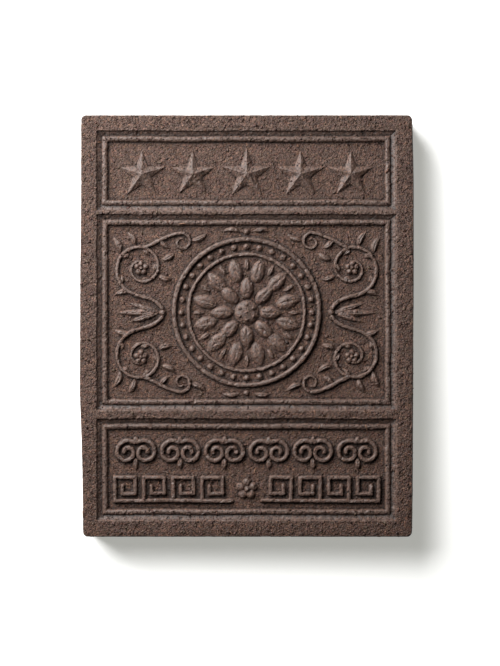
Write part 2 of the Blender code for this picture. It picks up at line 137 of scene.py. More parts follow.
# Cloud scrolls and key fret
CLOUD_XS = np.arange(-62.5, 63.0, 25.0) * MM
CLOUD_Y = -71.8 * MM
CLOUD_PEAK = 8.2 * MM
CLOUD_EYE = (4.9 * MM, 0.6 * MM)
CLOUD_RADII = (6.9 * MM, 1.6 * MM)
CLOUD_START, CLOUD_TURNS = math.radians(125.0), -1.35
CLOUD_HALF_WIDTH, CLOUD_HEIGHT = 1.25 * MM, 2.1 * MM
DROP_TOP, DROP_LENGTH, DROP_HALF_WIDTH = -2.4 * MM, 7.6 * MM, 1.7 * MM
FRET_FOOT_Y = -98.4 * MM
FRET_RISE, FRET_PITCH, FRET_UNITS = 13.0 * MM, 16.4 * MM, 4
FRET_START = 8.6 * MM
HOOK_FAR, HOOK_NEAR = 0.70, 0.26  # how far back each hook reaches, as shares of the pitch
HOOK_LOW, HOOK_MIDDLE = 0.31, 0.65  # heights of its inner corners, as shares of the rise
FRET_HALF_WIDTH, FRET_HEIGHT = 1.15 * MM, 2.0 * MM

# Outline and rim
SIDE_PLACES = np.array([-118.8, -97.0, -64.0, -38.0, 0.0, 36.0, 50.0, 80.0, 118.8]) * MM
LEFT_DRAW = np.array([1.7, 1.6, 0.9, -0.15, 0.0, 0.1, 0.4, 0.55, 0.6]) * MM  # inwards there
RIGHT_DRAW = np.array([0.9, 0.5, 0.35, 0.2, 0.05, -0.15, -0.15, -0.15, 0.7]) * MM
CROWN_WIDTH, CROWN_DROP = 3.8 * MM, 0.6 * MM  # how the rim falls towards the edges

# Hand work and wear; ripples are given by their shortest and longest wave and their number
HAND_WARP = 0.14 * MM  # how far the moulded lines stray
STRAYS = (  # shortest and longest wave, number, start of the draws, share
    (18 * MM, 50 * MM, 10, 0, 0.7),
    (2.5 * MM, 7 * MM, 24, 20, 0.45),
    (1.3 * MM, 2.8 * MM, 24, 25, 0.6),
)
STEADY = 0.25  # share of the stray that reaches the stars
WEAR_RIPPLES, WEAR_SHARE = (25 * MM, 70 * MM, 8), 0.10  # how much lower worn ornament lies
CHIP_RIPPLES, CHIP_DEPTH = (2.2 * MM, 5.5 * MM, 24), 0.45 * MM
CHIPS_FROM, CHIPS_TO = 1.4, 2.6  # values of the ripples where a chip starts and is deepest
FRAME_RUB, STAR_RUB = 0.35, 0.65  # how smooth frames and stars are rubbed; the ornament is 1
RUB_HEIGHT = 1.2 * MM  # height from which the ornament is rubbed wholly smooth

# Pits between the crumbs
CRUMB_PITCH, GRIT_PITCH = 1.9 * MM, 1.05 * MM
PATCH_RIPPLES = (16 * MM, 45 * MM, 12)
EDGE_PITS, WALL_PITS = 0.3, 0.4  # how rough the rounded edge is, and how much more the wall
WALL_FROM, WALL_TO = 2 * MM, 5 * MM  # depths below the rim between which the wall begins

# Mesh
TOP_CELLS = (536, 680)  # both multiples of 8, as two rings below halve the count
BODY_TRIANGLES = 190_000
FILLET_STEPS = 5
WALL_STEPS = 30
CRUMB_TILE = 64  # cubes a side before the pattern of crumbs repeats
CREASE = math.radians(30.0)  # angle over which an edge is drawn sharp
MAP_CELL = 0.4 * MM
HOLLOW_CELLS = 3  # reach of the blur that finds hollows, in map cells
STAND_SPAN = 0.8 * MM  # height over its surroundings at which a place counts as all proud
FACE_FROM, FACE_TO = 4 * MM, 5 * MM  # depths below the rim between which the maps fade out

# Leaf bits: numbers tried on the upper face, the sides and the base, usual and greatest
# length, width and thickness as shares of the length and the width, and share of the
# thickness that stands proud
Bits = namedtuple("Bits", "top sides base length longest width thickness proud")
BIT_SIDES = 6
CRUMBS = Bits(13500, 1500, 2000, 0.85 * MM, 1.9 * MM, (0.45, 0.95), (0.35, 0.7), 0.55)
GRAINS = Bits(15500, 600, 800, 0.6 * MM, 1.0 * MM, (0.5, 1.0), (0.5, 0.9), 0.6)
FLAKES = Bits(7500, 1000, 1500, 1.6 * MM, 3.4 * MM, (0.25, 0.55), (0.15, 0.35), 0.55)
STALKS = Bits(2000, 260, 420, 2.2 * MM, 6.0 * MM, (0.10, 0.2), (0.5, 0.8), 0.5)
BIT_SPREAD = 0.4  # of the logarithm of the lengths
THICKEST_BIT = 0.5 * MM
BIT_REACH = (0.7, 1.1)  # of the rim's points, where 1 is half the length
BIT_PEAK = 0.15  # how far the raised middle may lie aside, as a share of the length
BIT_TILT = 0.35  # spread of the slopes, as a share of thickness over length
BIT_SINK = 0.8  # how deep a bit lies in its pit, where 1 is at the bottom
FACE_MARGIN, BASE_MARGIN = 1 * MM, 3 * MM
RUBBED_OFF = 0.75  # share of the bits that is missing on the ornament

# Sizes of the material's patterns
STIR = (0.8 * MM, 0.5 * MM)  # grain of the noise that stirs the crumbs, and how far it goes
CRUMB_SIZE, GRIT_SIZE, FINE_SIZE, SPECK_SIZE = 1.2 * MM, 0.75 * MM, 0.6 * MM, 2.4 * MM
PATCH_SIZE, CLUSTER_SIZE = 20 * MM, 9 * MM
CRUMB_BUMP = 0.65 * MM
WALL_SHADE = (0.5 * MM, 1.4 * MM)  # depths below the rim between which the painted wall shade comes in
RIGHT_SHADE_INSET = (1.3 * MM, 0.5 * MM)  # distances from the right side between which painted shade darkens it more
RIGHT_SHADE_DEPTH = (5 * MM, 3 * MM)  # depths between which that painted shade comes in, going up
BIT_GRAIN, BIT_BUMP = 0.35 * MM, 0.12 * MM

# Tints: place on the ramp and the colour there
CRUMB_TINTS = (
    (0.0, "dark"), (0.18, "plum"), (0.45, "olive"), (0.7, "plum"), (0.9, "russet"), (1.0, "dust"),
)
GRIT_TINTS = (
    (0.0, "dark"), (0.22, "olive"), (0.45, "plum"), (0.6, "dust"), (0.82, "olive"),
    (0.96, "plum"), (1.0, "gold"),
)
LOOSE_TINTS = (
    (0.0, "dark"), (0.3, "plum"), (0.5, "dust"), (0.7, "olive"), (0.9, "plum"), (1.0, "russet"),
)
GRAIN_TINTS = (
    (0.0, "dark"), (0.3, "olive"), (0.5, "dust"), (0.75, "plum"), (0.92, "olive"), (1.0, "gold"),
)
STALK_TINTS = ((0.0, "dark"), (0.35, "leaf"), (0.6, "russet"), (1.0, "gold"))
BIT_KINDS = (
    ("leaf_crumbs", CRUMBS, LOOSE_TINTS),
    ("leaf_grains", GRAINS, GRAIN_TINTS),
    ("leaf_flakes", FLAKES, LOOSE_TINTS),
    ("leaf_stalks", STALKS, STALK_TINTS),
)

# Photograph and stage
PIXEL = 0.562 * MM  # on the brick's upper face
PHOTO_LONG_SIDE = 666
LENS, SENSOR = 100.0, 36.0
AIM = (3.3 * PIXEL, -7.1 * PIXEL)  # what lies at the middle of the picture
TABLE_HALF_SIDE, TABLE_TOP = 2.0, -0.15 * MM  # its top lies just under the brick

Line = namedtuple(
    "Line", "points half_widths height closed vein square", defaults=(0.0, SQUARENESS)
)
ONCE = ((1, 1),)  # signs of x and y in each copy of a line
BOTH_SIDES = ((1, 1), (-1, 1))
ALL_QUARTERS = ((1, 1), (1, -1), (-1, 1), (-1, -1))


# --- Sizes and colours a user may change ---------------------------------------------


def length_property(name, description, default):
    return bpy.props.FloatProperty(
        name=name, description=description, default=default, min=0.0, unit="LENGTH",
        subtype="DISTANCE", precision=5,
    )


def colour_property(name, description, default):
    return bpy.props.FloatVectorProperty(
        name=name, description=description, default=default, size=3, min=0.0, max=1.0,
        subtype="COLOR",
    )


def angle_property(name, description, degrees):
    return bpy.props.FloatProperty(
        name=name, description=description, default=math.radians(degrees), subtype="ANGLE",
        unit="ROTATION",
    )


class TeaBrickSizes(bpy.types.PropertyGroup):
    panel_depth: length_property(
        "Panel depth", "From the rim down to the panels' floors", 3.0 * MM
    )
    bead_height: length_property("Bead height", "Bead over its outer foot", 1.4 * MM)
    star_height: length_property("Star height", "Star's point over the floor", 3.0 * MM)
    edge_round: length_property("Edge round", "How far the edges round inwards", 1.1 * MM)
    edge_drop: length_property("Edge drop", "How far the edges round down", 2.2 * MM)
    corner_round: length_property("Corner round", "Plan rounding of the corners", 3.0 * MM)
    crumb: length_property("Crumb depth", "Depth of the pits between crumbs", 0.30 * MM)
    seed: bpy.props.IntProperty(
        name="Seed", description="Start of the random draws", default=7, min=0
    )


class TeaBrickColours(bpy.types.PropertyGroup):
    leaf: colour_property("Leaf", "Main brown of the pressed leaf", (0.0452, 0.0197, 0.0115))
    dust: colour_property("Dust", "Greyer brown of rubbed places", (0.0530, 0.0303, 0.0224))
    # The dark colour also paints shade: in the hollows and on the walls.
    dark: colour_property("Dark leaf", "Nearly black leaf and hollows", (0.0105, 0.0039, 0.0019))
    russet: colour_property("Russet", "Redder stalk and bark", (0.0700, 0.0275, 0.0150))
    olive: colour_property("Olive", "Greener leaf", (0.0426, 0.0259, 0.0124))
    plum: colour_property("Plum", "Purplish leaf", (0.0460, 0.0182, 0.0140))
    gold: colour_property("Gold", "Pale golden stalk", (0.1600, 0.0830, 0.0470))
    floor: colour_property("Floor", "White table", (0.72, 0.72, 0.716))
    glow: colour_property("Glow", "Light that the table gives by itself", (0.385, 0.387, 0.361))


class TeaBrickStudio(bpy.types.PropertyGroup):
    key_azimuth: angle_property("Key azimuth", "Way from the brick to the key light", 134.0)
    key_elevation: angle_property("Key elevation", "Key light over the table", 34.5)
    key_distance: length_property("Key distance", "From the brick's middle", 0.64)
    key_size: length_property("Key size", "Side of the square soft box", 0.60)
    key_power: bpy.props.FloatProperty(
        name="Key power", description="Light of the soft box in watts", default=22.4,
        min=0.0, subtype="POWER", unit="POWER",
    )
    fill: bpy.props.FloatProperty(
        name="Fill", description="Strength of the white surroundings", default=0.03, min=0.0
    )


# --- Moulded lines -------------------------------------------------------------------


def polar(middle, radius, angle):
    """Points middle + r (cos a, sin a)."""
    return np.column_stack([middle[0] + radius * np.cos(angle), middle[1] + radius * np.sin(angle)])


def spiral(middle, radii, start, turns, steps):
    """A polar line with its radius and its angle both changing evenly."""
    t = np.linspace(0.0, 1.0, steps + 1)
    return polar(middle, radii[0] + (radii[1] - radii[0]) * t, start + 2 * math.pi * turns * t)


def bezier(p0, p1, p2, p3, steps):
    """Cubic (1-t)^3 p0 + 3t(1-t)^2 p1 + 3t^2(1-t) p2 + t^3 p3 for t from 0 to 1."""
    t = np.linspace(0.0, 1.0, steps + 1)[:, None]
    p0, p1, p2, p3 = (np.asarray(p, float) for p in (p0, p1, p2, p3))
    early, late = (1 - t) ** 2, t**2
    return early * (1 - t) * p0 + 3 * t * early * p1 + 3 * late * (1 - t) * p2 + late * t * p3


def even_line(points, half_width, height, closed=False):
    """A line of one width all along."""
    points = np.asarray(points, float)
    return Line(points, np.full(len(points), half_width), height, closed)


def tapered_line(points, half_width, height, tail):
    """A stem whose half width falls evenly to tail times its first value."""
    share = np.linspace(0.0, 1.0, len(points))
    return Line(points, half_width * (1 - (1 - tail) * share), height, False)


def leaf(base, direction, length, half_width, height=LEAF_HEIGHT, bend=LEAF_BEND, steps=14):
    """An almond: half width w sin(pi t^0.85), but at least 0.12 w, its middle line bowed
    aside by 4 bend t(1-t) times its length."""
    t = np.linspace(0.0, 1.0, steps + 1)
    ux, uy = math.cos(direction), math.sin(direction)
    along, aside = t * length, bend * length * 4 * t * (1 - t)
    points = np.column_stack(
        [base[0] + along * ux - aside * uy, base[1] + along * uy + aside * ux]
    )
    widths = half_width * np.maximum(np.sin(math.pi * t**0.85), 0.12)
    return Line(points, widths, height, False, VEIN_DEPTH, 2.0)


def copies(lines, flips, shift=(0.0, 0.0)):
    """The lines, once for each flip's pair of signs, and moved by the shift."""
    return [
        line._replace(points=line.points * np.array(flip) + np.array(shift))
        for line, flip in itertools.product(lines, flips)
    ]


def ring(radius, half_width, height, steps):
    """A closed circle round the origin."""
    points = spiral((0.0, 0.0), (radius, radius), 0.0, 1.0, steps)[:-1]
    return even_line(points, half_width, height, closed=True)


def petals(row):
    """Straight almonds standing evenly round the origin."""
    angles = 2 * math.pi * (np.arange(row.count) + row.turn) / row.count
    return [
        leaf(base, angle, row.outer - row.inner, row.half_width, row.height, bend=0.0)
        for base, angle in zip(polar((0.0, 0.0), row.inner, angles), angles)
    ]


def medallion_lines():
    """Two rings with the petals inside them."""
    return [
        ring(RING_RADIUS, RING_HALF_WIDTH, RING_HEIGHT, 120),
        ring(INNER_RADIUS, INNER_HALF_WIDTH, INNER_HEIGHT, 100),
        *(line for row in PETAL_RINGS for line in petals(row)),
    ]


def shoot_lines():
    """Small leaves that turn in from the scroll."""
    spokes = SCROLL_START + 2 * math.pi * SCROLL_TURNS * SHOOT_SHARES
    radii = SCROLL_RADII[0] + (SCROLL_RADII[1] - SCROLL_RADII[0]) * SHOOT_SHARES
    return [
        leaf(foot, spoke + SHOOT_TURN, SHOOT_LENGTH, SHOOT_HALF_WIDTH, SHOOT_HEIGHT)
        for foot, spoke in zip(polar(SCROLL_AT, radii, spokes), spokes)
    ]


def leaf_in_mm(x, y, degrees, length, half_width, bend=LEAF_BEND):
    """A leaf given in millimetres and degrees."""
    return leaf((x * MM, y * MM), math.radians(degrees), length * MM, half_width * MM, bend=bend)


def vine_lines():
    """One quarter of the vines: a stem into the scroll, the upper curl, and the leaves."""
    scroll = spiral(SCROLL_AT, SCROLL_RADII, SCROLL_START, SCROLL_TURNS, 60)
    curl = spiral(CURL_AT, CURL_RADII, CURL_START, CURL_TURNS, 30)
    stem = np.vstack([bezier(*STEM_POINTS, scroll[0], 10), scroll[1:]])
    branch = np.vstack([bezier(*BRANCH_POINTS, curl[0], 10), curl[1:]])
    return [
        tapered_line(stem, STEM_HALF_WIDTH, STEM_HEIGHT, STEM_TAIL),
        tapered_line(branch, STEM_HALF_WIDTH, STEM_HEIGHT, BRANCH_TAIL),
        *(leaf_in_mm(*numbers) for numbers in VINE_LEAVES),
        *shoot_lines(),
    ]


def fan_lines():
    """A fan of leaves between the two vines of one side."""
    return [leaf_in_mm(*FAN_FOOT, *numbers, bend=0.0) for numbers in FAN_BLADES]


def cloud_lines():
    """A pair of scrolls that meet in a point above a hanging drop."""
    coil = spiral(CLOUD_EYE, CLOUD_RADII, CLOUD_START, CLOUD_TURNS, 44)
    scroll = even_line(np.vstack([[(0.0, CLOUD_PEAK)], coil]), CLOUD_HALF_WIDTH, CLOUD_HEIGHT)
    drop = leaf((0.0, DROP_TOP), math.radians(-90), DROP_LENGTH, DROP_HALF_WIDTH, bend=0.0)
    return copies([scroll], BOTH_SIDES) + [drop]


def fret_lines():
    """The right half of the key fret: a foot line and a square hook in each unit."""
    end = FRET_START + FRET_UNITS * FRET_PITCH
    lines = [even_line([(FRET_START, 0.0), (end, 0.0)], FRET_HALF_WIDTH, FRET_HEIGHT)]
    for i in range(FRET_UNITS):
        x = end - i * FRET_PITCH
        far, near = x - HOOK_FAR * FRET_PITCH, x - HOOK_NEAR * FRET_PITCH
        low, middle = HOOK_LOW * FRET_RISE, HOOK_MIDDLE * FRET_RISE
        hook = [(x, 0.0), (x, FRET_RISE), (far, FRET_RISE), (far, low), (near, low)]
        lines.append(even_line(hook + [(near, middle)], FRET_HALF_WIDTH, FRET_HEIGHT))
    return lines


def all_lines():
    """Every raised line of the relief, at its place on the brick."""
    middle = (0.0, MEDALLION_Y)
    lines = copies(medallion_lines(), ONCE, middle)
    lines += copies(vine_lines(), ALL_QUARTERS, middle)
    lines += copies(fan_lines(), BOTH_SIDES, middle)
    for x in CLOUD_XS:
        lines += copies(cloud_lines(), ONCE, (x, CLOUD_Y))
    return lines + copies(fret_lines(), BOTH_SIDES, (0.0, FRET_FOOT_Y))


def round_places(count, orbit, middle):
    """Places spaced evenly round a middle point, the first above it."""
    return polar(middle, orbit, 2 * math.pi * np.arange(count) / count + math.pi / 2)


def blossom_domes(middle, size):
    """Round petals about a higher eye."""
    places = round_places(BLOSSOM_PETALS, size * BLOSSOM_ORBIT, middle)
    domes = [(x, y, size * BLOSSOM_RADIUS, BLOSSOM_HEIGHT) for x, y in places]
    return domes + [(*middle, size * BLOSSOM_EYE_RADIUS, BLOSSOM_EYE_HEIGHT)]


def all_domes():
    """Pearls, seed pod, buds and blossoms, each as x, y, radius, height."""
    middle = (0.0, MEDALLION_Y)
    pearls = round_places(PEARLS, PEARL_ORBIT, middle)
    seeds = [middle, *round_places(SEEDS, SEED_ORBIT, middle)]
    domes = [(x, y, PEARL_RADIUS, PEARL_HEIGHT) for x, y in pearls]
    domes += [(*middle, POD_RADIUS, POD_HEIGHT)]
    domes += [(x, y, SEED_RADIUS, SEED_HEIGHT) for x, y in seeds]
    for side, up in ALL_QUARTERS:
        domes += blossom_domes((side * SCROLL_AT[0], MEDALLION_Y + up * SCROLL_AT[1]), 1.0)
    for side in (-1, 1):
        domes.append((side * SIDE_BUD[0], MEDALLION_Y, *SIDE_BUD[1:]))
        domes.append((0.0, MEDALLION_Y + side * END_BUD[0], *END_BUD[1:]))
    return domes + blossom_domes((0.0, FRET_FOOT_Y + FRET_RISE / 2), MIDDLE_BLOSSOM)


# --- Heights -------------------------------------------------------------------------


def ripples(points, shortest, longest, count, seed):
    """Sum of sines sin(k.p + a) in random directions, its spread about 1."""
    draw = np.random.default_rng(seed)
    heading = draw.normal(size=(count, 3))
    heading /= np.linalg.norm(heading, axis=1, keepdims=True)
    wave = heading * (2 * math.pi / draw.uniform(shortest, longest, (count, 1)))
    phase = draw.uniform(0.0, 2 * math.pi, count)
    total = np.zeros(len(points))
    for k, a in zip(wave, phase):
        total += np.sin(points @ k + a)
    return total / math.sqrt(count / 2)


def smoothstep(low, high, x):
    """3t^2 - 2t^3, with t rising evenly from 0 at low to 1 at high."""
    t = np.clip((x - low) / (high - low), 0.0, 1.0)
    return t * t * (3 - 2 * t)


def panel_inset(x, y, panel):
    """Distance inwards from the nearest side of a square-cornered panel."""
    middle, half_length = (panel[0] + panel[1]) / 2, (panel[1] - panel[0]) / 2
    across = PANEL_HALF_WIDTH - np.abs(x - PANEL_X)
    return np.minimum(across, half_length - np.abs(y - middle))


def panel_profile(inset, depth, bead_height):
    """Height under the rim, and 1 on the frame: a step falling as 1 - sqrt(1 - u^2), a
    straight slope, then a bead of sqrt(1 - t^2) on both sides of its crest."""
    u = np.clip((inset - STEP_FROM) / (STEP_TO - STEP_FROM), 0.0, 1.0)
    step = STEP_DROP * (1 - np.sqrt(1 - u**2))
    run = np.clip((inset - STEP_TO) / (SLOPE_WIDTH - STEP_TO), 0.0, 1.0)
    slope = (SLOPE_DROP - STEP_DROP) * run
    crest = SLOPE_WIDTH + BEAD_OUTER
    outer = bead_height * np.sqrt(np.maximum(1 - ((inset - crest) / BEAD_OUTER) ** 2, 0.0))
    fall = np.clip((inset - crest) / BEAD_INNER, 0.0, 1.0)
    inner = (bead_height - SLOPE_DROP + depth) * np.sqrt(1 - fall**2) - depth
    z = np.where(inset > crest, inner, outer - step - slope)
    foot = crest + BEAD_INNER
    framed = smoothstep(STEP_FROM, 0.0, inset) * smoothstep(foot, foot - BEAD_FADE, inset)
    return z, framed


def ridge(x, y, line):
    """Height of a rounded ridge along the line: height times w/wmax times
    (1 - (d/w)^p)^(1/p), with d the distance to the line and w the half width there. A vein
    is a groove of exp(-(d/v)^2) along it, as deep as the leaf is wide there."""
    points, widths = line.points, line.half_widths
    if line.closed:
        points, widths = np.vstack([points, points[:1]]), np.append(widths, widths[0])
    reach = widths.max()
    low, high = points.min(0) - reach, points.max(0) + reach
    near = np.nonzero((x > low[0]) & (x < high[0]) & (y > low[1]) & (y < high[1]))[0]
    px, py = x[near], y[near]
    best, groove = np.zeros(len(near)), np.zeros(len(near))
    for (ax, ay), (bx, by), wa, wb in zip(points, points[1:], widths, widths[1:]):
        dx, dy = bx - ax, by - ay
        t = np.clip(((px - ax) * dx + (py - ay) * dy) / (dx * dx + dy * dy), 0.0, 1.0)
        half = wa + (wb - wa) * t
        apart = (px - ax - t * dx) ** 2 + (py - ay - t * dy) ** 2
        share = np.minimum(apart / half**2, 1.0) ** (line.square / 2)
        np.maximum(best, half * (1 - share) ** (1 / line.square), out=best)
        if line.vein:
            np.maximum(groove, half * np.exp(-apart / (VEIN_WIDTH * half) ** 2), out=groove)
    cut = line.vein * np.where(best > 0.0, groove, 0.0) / reach
    return near, np.maximum(best * (line.height / reach) - cut, 0.0)


def star(x, y, middle_x, radius, height, draw):
    """A pyramid over a five-pointed star, on an upright root: its rise times
    1 - p.n / (tip.n), with p folded into one tenth of the star and n square to that
    tenth's outer edge. The arms are drawn a little uneven."""
    dx, dy = x - middle_x, y - STAR_Y
    turn = np.arctan2(dy, dx) - math.pi / 2
    tenth = math.pi / 5
    arm = np.floor(np.mod(turn + tenth, 2 * math.pi) / (2 * tenth)).astype(int)
    fold = np.abs(np.mod(turn + tenth, 2 * tenth) - tenth)
    reach = np.hypot(dx, dy)
    tips = radius * (1 + draw.uniform(-STAR_SPREAD, STAR_SPREAD, 6))[arm]
    waist_x = STAR_WAIST * radius * math.cos(tenth)
    waist_y = STAR_WAIST * radius * math.sin(tenth)
    normal_x, normal_y = waist_y, tips - waist_x
    share = reach * (np.cos(fold) * normal_x + np.sin(fold) * normal_y) / (tips * normal_x)
    inside = (1 - share) * tips * normal_x / np.hypot(normal_x, normal_y)
    root = STAR_ROOT * smoothstep(-STAR_EDGE / 2, STAR_EDGE / 2, inside)
    return root + (height - STAR_ROOT) * np.maximum(1 - share, 0.0)


def hand_stray(places, seed):
    """How far the moulded lines stray one way: the weighted sum of three ripples."""
    return HAND_WARP * sum(
        share * ripples(places, shortest, longest, count, seed + start)
        for shortest, longest, count, start, share in STRAYS
    )


def ornament_height(x, y):
    """Height over the floor of whichever line or round dome is the highest there."""
    raised = np.zeros_like(x)
    for line in all_lines():
        near, height = ridge(x, y, line)
        raised[near] = np.maximum(raised[near], height)
    for cx, cy, radius, height in all_domes():
        apart = ((x - cx) ** 2 + (y - cy) ** 2) / radius**2
        raised = np.maximum(raised, height * np.sqrt(np.maximum(1 - apart, 0.0)))
    return raised


def relief(x, y, sizes):
    """The moulded face at any places (x, y): its height under the rim, and how smooth it
    is rubbed: 0 on the floors, FRAME_RUB on the frames, STAR_RUB on the stars and 1 on the
    ornament. The rim falls as (1 - d/w)^2 within w of the edge."""
    places = np.column_stack([x, y, np.zeros_like(x)])
    stray_x, stray_y = (hand_stray(places, sizes.seed + way) for way in (1, 2))
    steady_x, steady_y = x + STEADY * stray_x, y + STEADY * stray_y
    x, y = x + stray_x, y + stray_y
    margin = np.minimum(WIDTH / 2 - np.abs(x), LENGTH / 2 - np.abs(y))
    z = -CROWN_DROP * np.clip(1 - margin / CROWN_WIDTH, 0.0, 1.0) ** 2
    frames = np.zeros_like(x)
    for panel in (STAR_PANEL, VINE_PANEL, FRET_PANEL):
        inset = panel_inset(x, y, panel)
        sunk, framed = panel_profile(inset, sizes.panel_depth, sizes.bead_height)
        z, frames = np.minimum(z, sunk), np.maximum(frames, framed)
    worn = np.clip(ripples(places, *WEAR_RIPPLES, sizes.seed + 3), 0.0, 1.5)
    raised = ornament_height(x, y) * (1 - WEAR_SHARE * worn)
    draw = np.random.default_rng(sizes.seed + 31)
    stars = np.zeros_like(x)
    for middle_x, radius in zip(STAR_XS, STAR_RADII):
        one = star(steady_x, steady_y, middle_x, radius, sizes.star_height, draw)
        stars = np.maximum(stars, one)
    crisp = smoothstep(0.0, STAR_ROOT, stars)
    chips = smoothstep(CHIPS_FROM, CHIPS_TO, ripples(places, *CHIP_RIPPLES, sizes.seed + 30))
    z = z + raised + stars - CHIP_DEPTH * chips * (1 - crisp)
    rubbed = FRAME_RUB * frames, STAR_RUB * crisp, smoothstep(0.0, RUB_HEIGHT, raised)
    return z, functools.reduce(np.maximum, rubbed)


def grains(points, size, seed):
    """Squared distance to the nearest grain, with one grain placed at random in each cube
    of a grid of that size, and the grain's own number from 0 to 1."""
    table = np.random.default_rng(seed).random((CRUMB_TILE,) * 3 + (4,)).astype(np.float32)
    scaled = points / size
    home = np.floor(scaled).astype(int)
    inside = (scaled - home).astype(np.float32)
    nearest, number = np.full(len(points), 9.0, np.float32), np.zeros(len(points), np.float32)
    for step in itertools.product((-1, 0, 1), repeat=3):
        i, j, k = ((home + step) % CRUMB_TILE).T
        grain = table[i, j, k]
        apart = ((grain[:, :3] + np.array(step, np.float32) - inside) ** 2).sum(1)
        closer = apart < nearest
        nearest[closer], number[closer] = apart[closer], grain[closer, 3]
    return nearest, number


def crumb_depth(points, sizes):
    """Pits between crumbs: the crumb depth times the squared distance to the nearest one,
    for two sizes of crumb, each lying at its own level, with a few missing and a few wide
    patches deeper."""
    apart, level = grains(points, CRUMB_PITCH, sizes.seed + 4)
    near, fine_level = grains(points, GRIT_PITCH, sizes.seed + 6)
    slow = ripples(points, *PATCH_RIPPLES, sizes.seed + 5)
    grain = 0.38 * np.minimum(apart, 1.0) + 0.38 * np.minimum(near, 1.0)
    grain += 0.3 * level + 0.35 * fine_level + 0.75 * smoothstep(0.88, 0.94, level)
    return sizes.crumb * (grain + 0.2 * np.clip(slow, 0.0, 1.5) ** 2)


def coarseness(height, proud, depth):
    """How rough a place is: the rim most, the floors less, rubbed ornament least."""
    return (0.8 + 0.3 * smoothstep(-depth, 0.0, height)) * (1 - 0.25 * proud)


def outline_shift(points):
    """Draws the long sides in by LEFT_DRAW and RIGHT_DRAW, and nothing within the panels."""
    x, y = points.T[:2]
    out = smoothstep(PANEL_HALF_WIDTH, WIDTH / 2, np.abs(x))
    left, right = (np.interp(y, SIDE_PLACES, draw) for draw in (LEFT_DRAW, RIGHT_DRAW))
    shift = out * np.where(x < 0.0, left, -right)
    return points + np.column_stack([shift, np.zeros_like(x), np.zeros_like(x)])


# --- Mesh of the brick ---------------------------------------------------------------


def grid_ring(nx, ny):
    """Indices of a grid's outer points, counter-clockwise from its low corner."""
    index = np.arange((nx + 1) * (ny + 1)).reshape(ny + 1, nx + 1)
    return np.concatenate(
        [index[0, :-1], index[:-1, -1], index[-1, :0:-1], index[:0:-1, 0]]
    )


def grid_points(nx, ny, half_x, half_y, corner):
    """An even grid on a rounded rectangle: each corner square is drawn in to a quarter
    disc by scaling (a, b) with max(a, b) / |(a, b)|."""
    u, v = np.meshgrid(np.linspace(-half_x, half_x, nx + 1), np.linspace(-half_y, half_y, ny + 1))
    u, v = u.ravel(), v.ravel()
    a = np.maximum(np.abs(u) - (half_x - corner), 0.0)
    b = np.maximum(np.abs(v) - (half_y - corner), 0.0)
    scale = np.maximum(a, b) / np.maximum(np.hypot(a, b), 1e-12)
    x = np.sign(u) * (np.minimum(np.abs(u), half_x - corner) + a * scale)
    y = np.sign(v) * (np.minimum(np.abs(v), half_y - corner) + b * scale)
    return x, y


def grid_triangles(nx, ny):
    """Two triangles to each cell of a grid."""
    index = np.arange((nx + 1) * (ny + 1)).reshape(ny + 1, nx + 1)
    a, b = index[:-1, :-1].ravel(), index[:-1, 1:].ravel()
    c, d = index[1:, 1:].ravel(), index[1:, :-1].ravel()
    return np.concatenate([np.column_stack([a, b, c]), np.column_stack([a, c, d])])


def strip_triangles(upper, lower):
    """Joins two rings of the same count, or an upper one of twice the count."""
    after = np.roll(lower, -1)
    if len(upper) == len(lower):
        corners = [(upper, lower, after), (upper, after, np.roll(upper, -1))]
    else:
        first, middle = upper[0::2], upper[1::2]
        last = np.roll(first, -1)
        corners = [(first, lower, middle), (middle, lower, after), (middle, after, last)]
    return np.concatenate([np.column_stack(three) for three in corners])


def side_levels(edge, drop):
    """Offset, height and tilt of each ring down the side, in three groups: a quarter
    ellipse, the wall and a quarter circle."""
    turn = np.linspace(0.0, math.pi / 2, FILLET_STEPS + 1)[1:]
    wall = np.linspace(THICKNESS - drop, edge, WALL_STEPS + 1)[1:]
    top = THICKNESS - CROWN_DROP * (1 - edge / CROWN_WIDTH) ** 2
    fall = top - (THICKNESS - drop)
    upper = [(edge * math.sin(a), top - fall * (1 - math.cos(a)), a) for a in turn]
    straight = [(edge, z, math.pi / 2) for z in wall]
    lower = [(edge * math.cos(a), edge * (1 - math.sin(a)), math.pi / 2 + a) for a in turn[:-1]]
    return upper, straight, lower


def level_outward(x, y, half_x, half_y, corner):
    """Level directions away from what is left of a rounded rectangle inside its corners."""
    out_x = x - np.clip(x, corner - half_x, half_x - corner)
    out_y = y - np.clip(y, corner - half_y, half_y - corner)
    return np.column_stack([out_x, out_y]) / np.hypot(out_x, out_y)[:, None]


